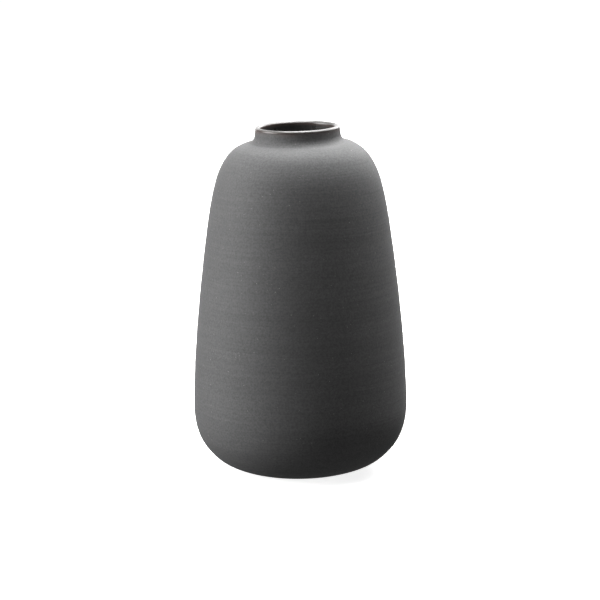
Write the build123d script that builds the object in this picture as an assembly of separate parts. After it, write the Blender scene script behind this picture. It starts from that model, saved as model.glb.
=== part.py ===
from build123d import *
import os
from math import cos, radians, sin, tan

# A wheel-thrown stoneware vase: one fired clay vessel, bare and matt outside, and the glaze that
# is fused to its inside and over its rim. Millimetres. +Z is up, along the axis that the vase was
# thrown on, and the origin is the centre of the foot, on the plane that the vase stands on.
# Every outline is drawn in the XZ plane, as radius and height, and turned about Z.

# ---- Driving dimensions ----
HEIGHT = 250.0               # foot plane to the top of the glazed rim

# Foot: a contact ring round a shallow turned recess, with a softly sponged outer edge
RECESS_R = 31.0
RECESS_DEPTH = 1.6
FOOT_R = 38.7                # where the contact plane and the first slope of the belly would meet
FOOT_SLOPE = 19.0            # degrees above level
FOOT_EDGE_R = 17.0           # rounding between the two

# Outside: belly, wall and shoulder
BELLY_R = 77.0               # widest point
BELLY_Z = 46.9
WALL_TOP_R = 63.2            # where the long wall starts to turn in
WALL_TOP_Z = 193.8
WALL_SLOPE = 79.0            # degrees above level
SHOULDER_SLOPE = 12.5        # degrees above level where the shoulder meets the collar

# Collar and rim
COLLAR_ROOT_R = 31.0         # where the collar's side and the shoulder would meet
COLLAR_ROOT_Z = 239.6
COLLAR_FILLET_R = 6.0        # rounding between the two
COLLAR_TAPER = 4.5           # degrees that the side leans in
RIM_OUTER_R = 1.7            # rounding of the clay rim, outside and inside
RIM_INNER_R = 1.4

# Clay thickness
FLOOR_CLAY = 6.4             # over the recess, in the middle of the floor
BELLY_CLAY = 5.2
WALL_CLAY = 4.8
SHOULDER_CLAY = 4.2
NECK_BORE_R = 27.1           # in the bare clay
NECK_ROOT_R = 3.0            # rounding where the shoulder's inside turns up into the neck

# Glaze
GLAZE_FILM = 0.5             # on the walls and in the neck
GLAZE_POOL = 1.1             # on the floor
GLAZE_RIM = 0.4              # over the top of the rim
GLAZE_BEAD = 0.12            # how far its edge stands out from the side of the collar
GLAZE_DROP = 2.0             # how far it comes down that side
GLAZE_EDGE = 0.3             # height of its bevelled edge

# How far each end of a smooth stretch runs on, as a pull along its own direction
BELLY_PULL = (3.0, 38.5)
WALL_PULL = (56.2, 8.7)
SHOULDER_PULL = (17.7, 20.5)
FLOOR_PULL = (57.0, 33.0)
INNER_WALL_PULL = (55.0, 9.0)
INNER_SHOULDER_PULL = (17.0, 20.5)

# ---- Directions, in degrees above level, outwards from the axis ----
OUT = 0
DOWN = -90
UP = 90
IN = 180
WALL = IN - WALL_SLOPE
SHOULDER = IN - SHOULDER_SLOPE
SIDE = UP + COLLAR_TAPER


# ---- Drawing helpers ----
def at(radius, height):
    """A point of an outline."""
    return Vector(radius, 0, height)


def step(direction, length=1.0):
    """A move of this length in a direction."""
    return at(length * cos(radians(direction)), length * sin(radians(direction)))


def stretch(start, leaving, end, arriving, pull):
    """A smooth stretch that leaves and arrives in the two given directions."""
    return Bezier(start, start + step(leaving, pull[0]), end - step(arriving, pull[1]), end)


def rounded(corner, before, after, radius):
    """The arc that rounds a corner between two directions, with the points where it starts and
    ends."""
    reach = radius * tan(radians(abs(after - before) / 2))
    start = corner - step(before, reach)
    end = corner + step(after, reach)
    return start, end, TangentArc(start, end, tangent=step(before))


def side_radius(height):
    """Radius of the clay collar's tapered side."""
    return COLLAR_ROOT_R - (height - COLLAR_ROOT_Z) * tan(radians(COLLAR_TAPER))


def turned(edges):
    """The solid that a closed outline sweeps about the throwing axis."""
    return revolve(make_face(edges), axis=Axis.Z)


# ---- Outlines ----
glaze_end = at(side_radius(HEIGHT - GLAZE_DROP), HEIGHT - GLAZE_DROP)
clay_floor = at(0, RECESS_DEPTH + FLOOR_CLAY)
pool_top = clay_floor + at(0, GLAZE_POOL)


def outside():
    """The bare clay from the middle of the foot's recess up to the edge of the glaze."""
    recess = at(0, RECESS_DEPTH)
    recess_end, ring_start, recess_step = rounded(
        at(RECESS_R, RECESS_DEPTH), OUT, DOWN, RECESS_DEPTH)
    ring_end, belly_start, foot_edge = rounded(at(FOOT_R, 0), OUT, FOOT_SLOPE, FOOT_EDGE_R)
    belly = at(BELLY_R, BELLY_Z)
    wall_top = at(WALL_TOP_R, WALL_TOP_Z)
    fillet_start, fillet_end, fillet = rounded(
        at(COLLAR_ROOT_R, COLLAR_ROOT_Z), SHOULDER, SIDE, COLLAR_FILLET_R)
    return [
        Line(recess, recess_end),
        recess_step,
        Line(ring_start, ring_end),
        foot_edge,
        stretch(belly_start, FOOT_SLOPE, belly, UP, BELLY_PULL),
        stretch(belly, UP, wall_top, WALL, WALL_PULL),
        stretch(wall_top, WALL, fillet_start, SHOULDER, SHOULDER_PULL),
        fillet,
        Line(fillet_end, glaze_end),
    ]


def inside(film, rim_film, floor, side_gap):
    """The inside from the middle of the floor, up the wall and the neck and over the rim to its
    outer corner. The films are the glaze on the clay, and all are 0 for the clay itself."""
    belly = at(BELLY_R - BELLY_CLAY - film, BELLY_Z)
    wall_top = at(WALL_TOP_R, WALL_TOP_Z) + step(WALL + 90, WALL_CLAY + film)
    bore_r = NECK_BORE_R - film
    root_z = (COLLAR_ROOT_Z + (COLLAR_ROOT_R - bore_r) * tan(radians(SHOULDER_SLOPE))
              - (SHOULDER_CLAY + film) / cos(radians(SHOULDER_SLOPE)))
    root_start, root_end, root = rounded(at(bore_r, root_z), SHOULDER, UP, NECK_ROOT_R + film)
    top = HEIGHT - GLAZE_RIM + rim_film
    rim_start, rim_top_start, inner_rim = rounded(at(bore_r, top), UP, OUT, RIM_INNER_R + film)
    rim_top_end, rim_end, outer_rim = rounded(
        at(side_radius(top) + side_gap, top), OUT, SIDE - 180, RIM_OUTER_R + side_gap)
    return [
        stretch(floor, OUT, belly, UP, FLOOR_PULL),
        stretch(belly, UP, wall_top, WALL, INNER_WALL_PULL),
        stretch(wall_top, WALL, root_start, SHOULDER, INNER_SHOULDER_PULL),
        root,
        Line(root_end, rim_start),
        inner_rim,
        Line(rim_top_start, rim_top_end),
        outer_rim,
    ], rim_end


# ---- The two pieces ----
def stoneware_body():
    """The fired clay: foot, belly, wall, shoulder, collar and rim, thrown as one piece."""
    cavity, rim_end = inside(0, 0, clay_floor, 0)
    axis = Line(clay_floor, at(0, RECESS_DEPTH))
    return turned([axis, *outside(), Line(glaze_end, rim_end), *cavity])


def interior_glaze():
    """The glassy lining: pooled on the floor, thin on the wall and neck, and over the rim to a
    bevelled edge on the outside of the collar."""
    cavity, clay_rim_end = inside(0, 0, clay_floor, 0)
    surface, rim_end = inside(GLAZE_FILM, GLAZE_RIM, pool_top, GLAZE_BEAD)
    bead_z = HEIGHT - GLAZE_DROP + GLAZE_EDGE
    bead = at(side_radius(bead_z) + GLAZE_BEAD, bead_z)
    return turned([
        Line(pool_top, clay_floor),
        *cavity,
        Line(clay_rim_end, glaze_end),
        Line(glaze_end, bead),
        Line(bead, rim_end),
        *surface,
    ])


os.makedirs("parts", exist_ok=True)
for piece in (stoneware_body, interior_glaze):
    export_step(piece(), f"parts/{piece.__name__}.step")
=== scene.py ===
import math

import bmesh
import bpy
import numpy as np
from mathutils import Matrix, Vector


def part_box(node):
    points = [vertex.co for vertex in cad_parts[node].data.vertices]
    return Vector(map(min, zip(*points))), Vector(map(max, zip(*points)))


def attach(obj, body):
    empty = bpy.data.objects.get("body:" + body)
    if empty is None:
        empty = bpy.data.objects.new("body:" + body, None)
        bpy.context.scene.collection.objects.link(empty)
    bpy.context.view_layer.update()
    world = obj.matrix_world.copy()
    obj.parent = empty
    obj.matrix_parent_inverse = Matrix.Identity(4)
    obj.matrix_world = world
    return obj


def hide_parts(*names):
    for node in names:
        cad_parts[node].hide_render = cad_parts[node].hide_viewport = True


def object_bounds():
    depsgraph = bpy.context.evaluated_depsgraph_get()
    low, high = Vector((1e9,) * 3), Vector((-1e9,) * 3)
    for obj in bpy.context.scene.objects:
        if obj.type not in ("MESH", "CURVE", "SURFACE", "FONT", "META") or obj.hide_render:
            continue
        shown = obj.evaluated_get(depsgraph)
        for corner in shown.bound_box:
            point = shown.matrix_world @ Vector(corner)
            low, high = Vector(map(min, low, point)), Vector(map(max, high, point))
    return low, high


# A wheel-thrown stoneware vase: bare charcoal clay outside, and a satin liner glaze inside and
# over the rim. Metres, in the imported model's frame. Both pieces are lathe meshes on the CAD
# profile, and they add what the wheel and the hand leave: throwing rings, fine turning lines, a
# slight lean and a collar that isn't quite level.

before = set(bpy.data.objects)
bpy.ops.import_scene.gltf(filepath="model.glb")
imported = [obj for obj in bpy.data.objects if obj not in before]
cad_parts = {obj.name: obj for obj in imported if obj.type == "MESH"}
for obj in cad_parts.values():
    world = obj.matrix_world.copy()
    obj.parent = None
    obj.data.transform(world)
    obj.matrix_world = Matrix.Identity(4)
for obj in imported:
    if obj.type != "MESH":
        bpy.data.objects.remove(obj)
cad_low, cad_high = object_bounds()

# ---- Sizes, from the frame ----
MM = 0.001
HEIGHT = cad_high.z / MM
BELLY_R = (cad_high.x - cad_low.x) / 2 / MM
FLOOR_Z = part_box("interior_glaze")[0].z / MM

# ---- Profile knots of the CAD model, in millimetres and in degrees above level ----
OUT, DOWN, UP, IN = 0, -90, 90, 180
FOOT_SLOPE = 19
WALL = IN - 79.0
SHOULDER = IN - 12.5
SIDE = UP + 4.5
RECESS_R = 31.0
RECESS_DEPTH = 1.6
FOOT_R = 38.7
FOOT_EDGE_R = 17.0
BELLY_Z = 46.9
WALL_TOP = (63.2, 193.8)
COLLAR_ROOT = (31.0, 239.6)
COLLAR_FILLET_R = 6.0
NECK_BORE_R = 26.6
NECK_ROOT_R = 3.5
RIM_INNER_R = 1.9
RIM_OUTER_R = 1.82
GLAZE_BEAD = 0.12
GLAZE_DROP = 2.0
GLAZE_EDGE = 0.3
GLAZE_POOL = 1.1
BELLY_WALL = 5.7             # clay and glaze together
UPPER_WALL = 5.3
SHOULDER_WALL = 4.7
CLAY_UNDER_GLAZE = 0.25      # depths below the glaze's surface: the clay's hidden face
GLAZE_BACK = 0.7             # and the glaze's own back, which is sunk into the clay

# How far each end of a smooth stretch runs on, as a pull along its own direction
BELLY_PULL = (3.0, 38.5)
WALL_PULL = (56.2, 8.7)
SHOULDER_PULL = (17.7, 20.5)
FLOOR_PULL = (57.0, 33.0)
INNER_WALL_PULL = (55.0, 9.0)
INNER_SHOULDER_PULL = (17.0, 20.5)

# ---- What the hand leaves ----
LEAN = 0.0059                # sideways shift of the whole vase, per unit of height
COLLAR_TILT = 0.012          # slope of the rim, up towards +X
COLLAR_BENDS_FROM = 233.0    # height where that tilt starts and where it is complete
COLLAR_BENDS_TO = 240.0
OVAL = 0.0008                # the belly is out of round by this share of its radius

# ---- What the wheel leaves: height of the marks, their usual wavelength and their random seed ----
BROAD_RINGS = (0.026, 24, 3)
FINGER_RINGS = (0.012, 8, 4)
TURNING_LINES = (0.013, 2.4, 5)
THROWING_RINGS = (0.12, 11, 6)
MARKS_FADE_IN = (3, 12)      # outside: distances past the foot, and below the top of the rim
MARKS_FADE_OUT = (5, 3)
RINGS_FADE_IN = (4, 20)      # inside: distances along the floor, and heights below the neck
RINGS_FADE_OUT = (226, 236)

# ---- Mesh density ----
SEGMENTS = 128
ROW = 0.5                    # spacing of rows up the outside, which carries the turning lines
GLAZE_ROW = 1.2              # in the cavity
RIM_ROW = 0.3                # in the neck and over the rim
HIDDEN_ROW = 3.0             # on faces that the other piece covers
STRETCH_POINTS = 200         # along each smooth stretch and each arc, before they are respaced
ARC_POINTS = 24


# ---- Drawing the profile: points are (radius, height) ----
def at(radius, height):
    return np.array([radius, height], float)


def step(direction, length=1.0):
    angle = math.radians(direction)
    return at(length * math.cos(angle), length * math.sin(angle))


def line(start, end):
    return np.array([start, end])


def stretch(start, leaving, end, arriving, pull):
    """A smooth cubic stretch that leaves and arrives in the two given directions."""
    t = np.linspace(0, 1, STRETCH_POINTS)[:, None]
    first = start + step(leaving, pull[0])
    last = end - step(arriving, pull[1])
    return (1 - t)**3 * start + 3 * (1 - t)**2 * t * first + 3 * (1 - t) * t**2 * last + t**3 * end


def rounded(corner, before, after, radius):
    """The arc that rounds a corner between two directions."""
    reach = radius * math.tan(math.radians(abs(after - before) / 2))
    side = math.copysign(90, after - before)
    centre = corner - step(before, reach) + step(before + side, radius)
    return np.array([centre + step(before - side + (after - before) * t, radius)
                     for t in np.linspace(0, 1, ARC_POINTS)])


def side_radius(height):
    """Radius of the clay collar's tapered side."""
    return COLLAR_ROOT[0] - (height - COLLAR_ROOT[1]) * math.tan(math.radians(SIDE - UP))


def outside_profile():
    """The bare clay from the middle of the foot's recess up to the edge of the glaze."""
    foot_edge = rounded(at(FOOT_R, 0), OUT, FOOT_SLOPE, FOOT_EDGE_R)
    fillet = rounded(at(*COLLAR_ROOT), SHOULDER, SIDE, COLLAR_FILLET_R)
    belly = at(BELLY_R, BELLY_Z)
    wall_top = at(*WALL_TOP)
    edge_z = HEIGHT - GLAZE_DROP
    return np.concatenate([
        [at(0, RECESS_DEPTH)],
        rounded(at(RECESS_R, RECESS_DEPTH), OUT, DOWN, RECESS_DEPTH),
        foot_edge,
        stretch(foot_edge[-1], FOOT_SLOPE, belly, UP, BELLY_PULL),
        stretch(belly, UP, wall_top, WALL, WALL_PULL),
        stretch(wall_top, WALL, fillet[0], SHOULDER, SHOULDER_PULL),
        fillet,
        line(fillet[-1], at(side_radius(edge_z), edge_z)),
    ])


def cavity_profile():
    """The glaze's surface from the middle of the floor up to the foot of the neck."""
    belly = at(BELLY_R - BELLY_WALL, BELLY_Z)
    wall_top = at(*WALL_TOP) + step(WALL + 90, UPPER_WALL)
    slope = math.radians(IN - SHOULDER)
    root_z = (COLLAR_ROOT[1] + (COLLAR_ROOT[0] - NECK_BORE_R) * math.tan(slope)
              - SHOULDER_WALL / math.cos(slope))
    root = rounded(at(NECK_BORE_R, root_z), SHOULDER, UP, NECK_ROOT_R)
    return np.concatenate([
        stretch(at(0, FLOOR_Z + GLAZE_POOL), OUT, belly, UP, FLOOR_PULL),
        stretch(belly, UP, wall_top, WALL, INNER_WALL_PULL),
        stretch(wall_top, WALL, root[0], SHOULDER, INNER_SHOULDER_PULL),
        root,
    ])


def rim_profile():
    """The glaze's surface from the foot of the neck, over the rim and down to its outer edge."""
    edge_z = HEIGHT - GLAZE_DROP
    bead_z = edge_z + GLAZE_EDGE
    return np.concatenate([
        cavity_profile()[-1:],
        rounded(at(NECK_BORE_R, HEIGHT), UP, OUT, RIM_INNER_R),
        rounded(at(side_radius(HEIGHT) + GLAZE_BEAD, HEIGHT), OUT, SIDE - 180, RIM_OUTER_R),
        line(at(side_radius(bead_z) + GLAZE_BEAD, bead_z), at(side_radius(edge_z), edge_z)),
    ])


def respaced(points, spacing):
    """The same line as evenly spaced points."""
    gap = np.hypot(*np.diff(points, axis=0).T)
    moved = gap > 1e-6
    points = points[np.concatenate([[True], moved])]
    travel = np.concatenate([[0], np.cumsum(gap[moved])])
    even = np.linspace(0, travel[-1], int(travel[-1] / spacing) + 1)
    return np.stack([np.interp(even, travel, points[:, k]) for k in (0, 1)], 1)


def travelled(points):
    """Distance of each point along its line."""
    return np.concatenate([[0], np.cumsum(np.hypot(*np.diff(points, axis=0).T))])


def to_the_right(points):
    """Unit normals of a profile, on the right of its direction of travel."""
    along = np.gradient(points, axis=0)
    along /= np.hypot(*along.T)[:, None]
    return np.stack([along[:, 1], -along[:, 0]], 1)


def sunk(points, depth):
    """The inside profile moved into the clay, still starting on the axis."""
    moved = points + depth * to_the_right(points)
    moved[0, 0] = 0
    return moved


# ---- The wheel's marks ----
def ripple(travel, wavelength, seed):
    """A smooth uneven wave along the profile, about 1 high, from waves of similar length."""
    rng = np.random.default_rng(seed)
    waves = 9
    lengths = wavelength * rng.uniform(0.7, 1.5, waves)
    phases = rng.uniform(0, 2 * math.pi, waves)
    total = sum(np.sin(2 * math.pi * travel / n + p) for n, p in zip(lengths, phases))
    return total / math.sqrt(waves / 2)


def ease(value, low, high):
    """0 below low, 1 above high and smooth between."""
    t = np.clip((value - low) / (high - low), 0, 1)
    return t * t * (3 - 2 * t)


def marks(travel, kind):
    """One kind of mark, as relief along the profile."""
    height, wavelength, seed = kind
    return height * ripple(travel, wavelength, seed)


def turning_marks(travel, turn):
    """Relief of the outside: broad finger rings and fine turning lines, none of them quite level
    or quite even round the vase."""
    drift = travel + 1.3 * np.cos(turn - 0.6) + 0.5 * np.cos(2 * turn + 1.9)
    finger = marks(drift, FINGER_RINGS) * (1 + 0.4 * np.cos(turn - 2.2))
    lines = marks(drift, TURNING_LINES) * (1 + 0.5 * np.cos(turn - 0.9))
    return marks(drift, BROAD_RINGS) + finger + lines


def throwing_marks(travel, turn):
    """Relief of the inside: rounder finger rings, softened by the glaze."""
    drift = travel + 3 * turn / math.pi * (1 - turn / (2 * math.pi))
    return marks(drift, THROWING_RINGS)


def handmade(points):
    """Leans the vase, sets its collar slightly off level and takes it a little out of round."""
    x, y, z = points.T.copy()
    swell = OVAL * ease(z, 10, 60) * (1 - ease(z, 190, 240))
    out_of_round = 1 + swell * np.cos(2 * np.arctan2(y, x) - 1.1)
    x, y = x * out_of_round, y * out_of_round
    tilt = COLLAR_TILT * ease(z, COLLAR_BENDS_FROM, COLLAR_BENDS_TO)
    x, z = x - tilt * (z - COLLAR_ROOT[1]), z + tilt * x
    return np.stack([x + LEAN * z, y, z], 1)


# ---- Meshes ----
TURN = np.linspace(0, 2 * math.pi, SEGMENTS, endpoint=False)


def lathe(name, profile, depth):
    """A closed mesh that turns a profile from axis to axis, each ring moved out by its depths."""
    moved = profile[:, None, :] + to_the_right(profile)[:, None, :] * depth[:, :, None]
    radius, z = moved[1:-1, :, 0], moved[1:-1, :, 1]
    wall = np.stack([radius * np.cos(TURN), radius * np.sin(TURN), z], 2).reshape(-1, 3)
    poles = np.array([[0, 0, profile[0, 1]], [0, 0, profile[-1, 1]]])
    points = handmade(np.concatenate([wall, poles])) * MM
    rings = len(profile) - 2
    column = np.arange(SEGMENTS)
    after = (column + 1) % SEGMENTS
    ring = np.arange(rings - 1)[:, None] * SEGMENTS
    quads = np.stack([ring + column, ring + after,
                      ring + SEGMENTS + after, ring + SEGMENTS + column], 2).reshape(-1, 4)
    start, end = rings * SEGMENTS, rings * SEGMENTS + 1
    last_ring = (rings - 1) * SEGMENTS
    faces = quads.tolist()
    faces += [(start, int(b), int(a)) for a, b in zip(column, after)]
    faces += [(end, int(last_ring + a), int(last_ring + b)) for a, b in zip(column, after)]
    mesh = bpy.data.meshes.new(name)
    mesh.from_pydata(points.tolist(), [], faces)
    mesh.shade_smooth()
    piece = bpy.data.objects.new(name, mesh)
    bpy.context.scene.collection.objects.link(piece)
    return piece


def clay_vessel():
    """The fired clay: turning marks outside, and a plain face under the glaze."""
    bare = respaced(outside_profile(), ROW)
    travel = travelled(bare)[:, None]
    start, full = (FOOT_R + distance for distance in MARKS_FADE_IN)
    fading, bare_top = (HEIGHT - distance for distance in MARKS_FADE_OUT)
    marked = ease(travel, start, full) * (1 - ease(bare[:, 1:], fading, bare_top))
    under = np.concatenate([respaced(cavity_profile(), HIDDEN_ROW),
                            respaced(rim_profile(), RIM_ROW)[1:-1]])
    covered = sunk(under, CLAY_UNDER_GLAZE)[::-1]
    depth = np.concatenate([turning_marks(travel, TURN) * marked,
                            np.zeros((len(covered), SEGMENTS))])
    return lathe("clay_vessel", np.concatenate([bare, covered]), depth)


def liner_glaze():
    """The glaze: its back sunk into the clay, and its satin face over soft finger rings."""
    cavity = respaced(cavity_profile(), GLAZE_ROW)
    face = np.concatenate([cavity, respaced(rim_profile(), RIM_ROW)[1:]])
    travel = travelled(face)[:, None]
    marked = ease(travel, *RINGS_FADE_IN) * (1 - ease(face[:, 1:], *RINGS_FADE_OUT))
    back = sunk(np.concatenate([respaced(cavity_profile(), HIDDEN_ROW),
                                respaced(rim_profile(), RIM_ROW)[1:-4]]), GLAZE_BACK)
    depth = np.concatenate([np.zeros((len(back), SEGMENTS)),
                            (throwing_marks(travel, TURN) * marked)[::-1]])
    return lathe("liner_glaze", np.concatenate([back, face[::-1]]), depth)


# ---- Materials: colours, as linear light ----
CLAY_DARK, CLAY_PALE = (0.072, 0.072, 0.073), (0.084, 0.084, 0.085)
CLAY_LINES = (0.12, 0.12, 0.12)
CLAY_GRAIN = (0.035, 0.035, 0.036)
CLAY_FLUSH = (0.085, 0.060, 0.054)
GROG_SPECK = (0.34, 0.33, 0.32)
# Near-black pinholes: painted shade inside the pinholes.
PINHOLE_PAINTED_SHADE = (0.02, 0.02, 0.02)
GLAZE_DARK, GLAZE_PALE = (0.040, 0.039, 0.038), (0.058, 0.056, 0.054)
GLAZE_GRAIN = (0.035, 0.033, 0.032)
GLAZE_BROWN = (0.105, 0.068, 0.060)
# Paler glaze for the lip's crest: partly the glaze running thinner there, partly a painted
# highlight.
GLAZE_THIN_AND_HIGHLIGHT = (0.115, 0.112, 0.109)
SILICATE_IOR = 1.5


class Nodes:
    """Builds a material's node tree. Every input is a number, a vector or another node's output."""

    def __init__(self, name):
        self.material = bpy.data.materials.new(name)
        self.material.use_nodes = True
        self.tree = self.material.node_tree
        self.shader = self.tree.nodes["Principled BSDF"]
        self.place = self.add("ShaderNodeTexCoord").outputs["Object"]

    def add(self, kind, inputs=(), **settings):
        node = self.tree.nodes.new(kind)
        for key, value in settings.items():
            setattr(node, key, value)
        for key, value in dict(inputs).items():
            self.feed(node.inputs[key], value)
        return node

    def feed(self, socket, value):
        if isinstance(value, bpy.types.NodeSocket):
            self.tree.links.new(value, socket)
        else:
            socket.default_value = value

    def math(self, operation, *values):
        node = self.add("ShaderNodeMath", enumerate(values), operation=operation)
        return node.outputs[0]

    def ramp(self, value, low, high, to_low=0.0, to_high=1.0):
        """value from low..high to to_low..to_high, eased and clamped."""
        inputs = {"Value": value, "From Min": low, "From Max": high,
                  "To Min": to_low, "To Max": to_high}
        return self.add("ShaderNodeMapRange", inputs, interpolation_type="SMOOTHSTEP").outputs[0]

    def noise(self, place, scale, detail=2.0, roughness=0.5):
        inputs = {"Vector": place, "Scale": scale, "Detail": detail, "Roughness": roughness}
        return self.add("ShaderNodeTexNoise", inputs).outputs["Fac"]

    def spots(self, place, scale, size):
        """A mask of small round spots, each of its own strength, in two cells of five or so."""
        cells = self.add("ShaderNodeTexVoronoi", {"Vector": place, "Scale": scale})
        pick = self.add("ShaderNodeSeparateColor", {"Color": cells.outputs["Color"]}).outputs
        disc = self.ramp(cells.outputs["Distance"], size * 1.3, size * 0.7)
        return self.math("MULTIPLY", disc, self.ramp(pick[0], 0.6, 1.0))

    def mix(self, share, first, second):
        """Colours mixed, second coming in as share goes from 0 to 1."""
        node = self.add("ShaderNodeMix", data_type="RGBA")
        factor, a, b = (node.inputs[k] for k in (0, 6, 7))
        self.feed(factor, share)
        self.feed(a, (*first, 1.0) if isinstance(first, tuple) else first)
        self.feed(b, (*second, 1.0) if isinstance(second, tuple) else second)
        return node.outputs[2]

    def wheel_place(self):
        """Coordinates that run along the profile faster than round it, for marks of the wheel.
        The distance along the profile is near enough height less radius above the belly, and
        height plus radius below it."""
        axes = self.add("ShaderNodeSeparateXYZ", {0: self.place}).outputs
        flat = self.add("ShaderNodeCombineXYZ", {0: axes[0], 1: axes[1]}).outputs[0]
        radius = self.add("ShaderNodeVectorMath", {0: flat}, operation="LENGTH").outputs["Value"]
        above = self.math("SIGN", self.math("SUBTRACT", axes[2], BELLY_Z * MM))
        inset = self.math("SUBTRACT", BELLY_R * MM, radius)
        run = self.math("MULTIPLY_ADD", inset, above, axes[2])
        wander = self.noise(self.place, 14.0, 1.0)
        run = self.math("MULTIPLY_ADD", wander, 4 * MM, run)
        return axes, run

    def stretched(self, axes, run, around, along):
        """A place for a noise with features this many metres⁻¹ fine round and along the vase."""
        parts = [self.math("MULTIPLY", axes[0], around), self.math("MULTIPLY", axes[1], around),
                 self.math("MULTIPLY", run, along)]
        return self.add("ShaderNodeCombineXYZ", enumerate(parts)).outputs[0]

    def bump(self, height, depth):
        """Surface relief from a 0 to 1 height, depth metres deep."""
        inputs = {"Height": height, "Distance": depth, "Strength": 1.0}
        return self.add("ShaderNodeBump", inputs).outputs[0]


def clay_material():
    """Matt charcoal stoneware: turning lines, sandy grain, pale grog specks, and pinholes painted
    near black as the shade inside them.
    """
    n = Nodes("charcoal_stoneware")
    axes, run = n.wheel_place()
    lines = n.noise(n.stretched(axes, run, 14, 620), 1.0, 3.0, 0.65)
    scratches = n.noise(n.stretched(axes, run, 40, 2600), 1.0, 2.0, 0.6)
    grain = n.noise(n.place, 750.0, 3.0, 0.7)
    cloud = n.noise(n.place, 22.0, 4.0, 0.6)
    specks = n.spots(n.place, 380.0, 0.10)
    pinhole_shade = n.spots(n.place, 520.0, 0.09)

    body = n.mix(n.ramp(cloud, 0.3, 0.7), CLAY_DARK, CLAY_PALE)
    streak = n.ramp(lines, 0.25, 0.75)
    body = n.mix(n.math("MULTIPLY", streak, 0.40), body, CLAY_LINES)
    body = n.mix(n.ramp(grain, 0.35, 0.68, 0.0, 0.55), body, CLAY_GRAIN)
    flush = n.math("MULTIPLY", n.ramp(axes[2], (HEIGHT - 5.5) * MM, (HEIGHT - 2.0) * MM),
                   n.ramp(n.noise(n.place, 60.0, 2.0), 0.35, 0.65, 0.25, 0.75))
    body = n.mix(flush, body, CLAY_FLUSH)
    body = n.mix(n.math("MULTIPLY", specks, 0.75), body, GROG_SPECK)
    # Pinholes painted near black: painted shade inside them, over their bump relief.
    body = n.mix(n.math("MULTIPLY", pinhole_shade, 0.8), body, PINHOLE_PAINTED_SHADE)
    n.feed(n.shader.inputs["Base Color"], body)

    n.feed(n.shader.inputs["Roughness"], n.ramp(cloud, 0.25, 0.75, 0.70, 0.80))
    n.shader.inputs["IOR"].default_value = SILICATE_IOR

    relief = n.math("MULTIPLY", lines, 0.7)
    relief = n.math("MULTIPLY_ADD", scratches, 0.2, relief)
    relief = n.math("MULTIPLY_ADD", grain, 0.25, relief)
    relief = n.math("MULTIPLY_ADD", specks, 0.3, relief)
    relief = n.math("MULTIPLY_ADD", pinhole_shade, -0.8, relief)
    n.feed(n.shader.inputs["Normal"], n.bump(relief, 0.09 * MM))
    return n.material


def glaze_material():
    """Thin satin glaze, darker than the clay and rippled inside. It turns paler over the top of the
    lip, partly where the glaze thins and partly as a painted highlight along the crest, and a warm
    brown along its edge."""
    n = Nodes("liner_satin")
    axes, run = n.wheel_place()
    cloud = n.noise(n.place, 45.0, 3.0, 0.6)
    rings = n.noise(n.stretched(axes, run, 12, 240), 1.0, 2.0, 0.5)
    grain = n.noise(n.place, 1500.0, 2.0, 0.6)
    body = n.mix(n.ramp(cloud, 0.3, 0.7), GLAZE_DARK, GLAZE_PALE)
    body = n.mix(n.ramp(grain, 0.45, 0.75, 0.0, 0.4), body, GLAZE_GRAIN)
    edge = n.math("ADD", axes[2], n.math("MULTIPLY", n.math("SUBTRACT", cloud, 0.5), 0.6 * MM))
    near_edge = n.math("MULTIPLY", n.ramp(edge, (HEIGHT - 0.5) * MM, (HEIGHT - 1.3) * MM),
                       n.ramp(edge, (HEIGHT - 3.2) * MM, (HEIGHT - 2.6) * MM))
    body = n.mix(n.math("MULTIPLY", near_edge, 0.40), body, GLAZE_BROWN)
    # The top of the lip painted paler: partly glaze thinning over it, partly a painted highlight
    # along the crest.
    thinning_and_highlight = n.ramp(edge, (HEIGHT - 1.5) * MM, (HEIGHT - 0.6) * MM)
    body = n.mix(thinning_and_highlight, body, GLAZE_THIN_AND_HIGHLIGHT)
    n.feed(n.shader.inputs["Base Color"], body)
    n.feed(n.shader.inputs["Roughness"], n.ramp(cloud, 0.2, 0.8, 0.24, 0.34))
    n.shader.inputs["IOR"].default_value = SILICATE_IOR
    relief = n.math("MULTIPLY_ADD", rings, 0.8, n.math("MULTIPLY", cloud, 0.6))
    n.feed(n.shader.inputs["Normal"], n.bump(relief, 0.10 * MM))
    return n.material


def backdrop_material():
    """Plain matt white paper that glows more away from the vase, so that it stays pale there."""
    n = Nodes("white_paper")
    distance = n.add("ShaderNodeVectorMath", {0: n.place}, operation="LENGTH").outputs["Value"]
    n.shader.inputs["Base Color"].default_value = (0.8, 0.8, 0.8, 1.0)
    n.shader.inputs["Roughness"].default_value = 0.9
    n.shader.inputs["Emission Color"].default_value = (1.0, 1.0, 1.0, 1.0)
    n.feed(n.shader.inputs["Emission Strength"], n.ramp(distance, 0.1, 1.0, 0.85, 1.0))
    return n.material


# ---- The object ----
vessel = clay_vessel()
vessel.data.materials.append(clay_material())
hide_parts("stoneware_body")
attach(vessel, "root")

glaze = liner_glaze()
glaze.data.materials.append(glaze_material())
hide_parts("interior_glaze")
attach(glaze, "root")


# ---- Stage, in metres ----
FLOOR_RADIUS = 6.0
FLOOR_CORNER = 2.0
BACKDROP_HEIGHT = 6.0
LAMP_DISTANCE = 1.4


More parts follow.
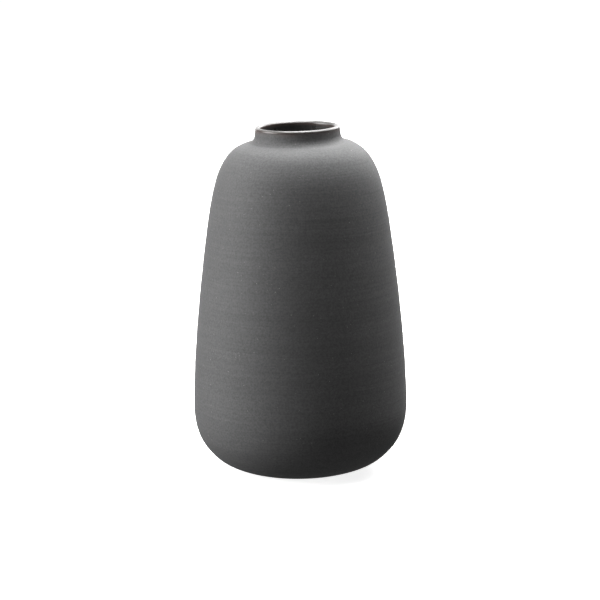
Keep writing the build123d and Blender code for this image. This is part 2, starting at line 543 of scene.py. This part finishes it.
def backdrop(radius, corner, height):
    """A round white floor that curves up into a wall all round. The lamps light it and shade it,
    but it lights nothing itself, like a picture cut out against white."""
    curve = np.concatenate([rounded(at(radius, 0), OUT, UP, corner), [at(radius, height)]])
    circle = np.linspace(0, 2 * math.pi, 96, endpoint=False)
    sweep = bmesh.new()
    rings = [[sweep.verts.new((r * math.cos(a), r * math.sin(a), z)) for a in circle]
             for r, z in curve]
    sweep.faces.new(rings[0])
    for low, high in zip(rings, rings[1:]):
        for k in range(len(circle)):
            sweep.faces.new((low[k], low[k - 1], high[k - 1], high[k])).smooth = True
    mesh = bpy.data.meshes.new("backdrop")
    sweep.to_mesh(mesh)
    sweep.free()
    paper = bpy.data.objects.new("backdrop", mesh)
    paper.data.materials.append(backdrop_material())
    paper.visible_diffuse = False
    paper.visible_glossy = False
    bpy.context.scene.collection.objects.link(paper)


def soft_lamp(name, azimuth, elevation, width, height, watts):
    """A softbox that faces the middle of the vase. Azimuth 0 is the camera's side and 90 is the
    right."""
    lamp = bpy.data.lights.new(name, "AREA")
    lamp.shape = "RECTANGLE"
    lamp.size, lamp.size_y = width, height
    lamp.energy = watts
    a, e = math.radians(azimuth), math.radians(elevation)
    way = Vector((math.sin(a) * math.cos(e), -math.cos(a) * math.cos(e), math.sin(e)))
    holder = bpy.data.objects.new(name, lamp)
    holder.location = Vector((0, 0, HEIGHT / 2 * MM)) + way * LAMP_DISTANCE
    holder.rotation_euler = way.to_track_quat("Z", "Y").to_euler()
    holder.visible_camera = False
    bpy.context.scene.collection.objects.link(holder)


def bounce_from_below(strength):
    """Light from below the horizon, as a table gives: none from above, and less from straight
    below, where the vase shades the table."""
    world = bpy.data.worlds.new("studio")
    world.use_nodes = True
    tree = world.node_tree
    way = tree.nodes.new("ShaderNodeTexCoord").outputs["Generated"]
    axes = tree.nodes.new("ShaderNodeSeparateXYZ")
    height = tree.nodes.new("ShaderNodeMapRange")
    ramp = tree.nodes.new("ShaderNodeValToRGB")
    background = tree.nodes["Background"]
    height.inputs["From Min"].default_value = -1.0
    for place, glow in ((0.0, 0.0), (0.30, 1.0), (0.47, 1.0), (0.53, 0.0)):
        stop = ramp.color_ramp.elements.new(place)
        stop.color = (glow, glow, glow, 1.0)
    ramp.color_ramp.elements.remove(ramp.color_ramp.elements[-1])
    tree.links.new(way, axes.inputs[0])
    tree.links.new(axes.outputs["Z"], height.inputs["Value"])
    tree.links.new(height.outputs[0], ramp.inputs[0])
    tree.links.new(ramp.outputs[0], background.inputs["Color"])
    background.inputs["Strength"].default_value = strength
    bpy.context.scene.world = world


backdrop(FLOOR_RADIUS, FLOOR_CORNER, BACKDROP_HEIGHT)
soft_lamp("key_left", -82, 13, 1.1, 1.3, 41)
soft_lamp("overhead", 150, 75, 1.2, 1.2, 62)
soft_lamp("behind_right", 145, 32, 1.0, 0.7, 14)
soft_lamp("behind", 180, 6, 1.6, 1.0, 9)
soft_lamp("fill_right", 105, 62, 1.2, 1.0, 5)
bounce_from_below(0.40)
bpy.context.scene.view_settings.view_transform = "Standard"

# ---- Camera: 2.3 m out and 0.55 m up, held about a degree off level ----
CAMERA_BACK = 2.300
CAMERA_UP = 0.550
LENS = 194.48
ROLL = math.radians(-0.95)
CAMERA_AIM = Vector((0.00118, 0, 0.1235))

camera = bpy.data.objects.new("camera", bpy.data.cameras.new("camera"))
camera.data.lens = LENS
camera.data.sensor_width = 36.0
camera.data.clip_end = 50.0
camera.location = (0, -CAMERA_BACK, CAMERA_UP)
facing = (CAMERA_AIM - camera.location).to_track_quat("-Z", "Y").to_matrix().to_4x4()
camera.rotation_euler = (facing @ Matrix.Rotation(ROLL, 4, "Z")).to_euler()
bpy.context.scene.collection.objects.link(camera)
bpy.context.scene.camera = camera
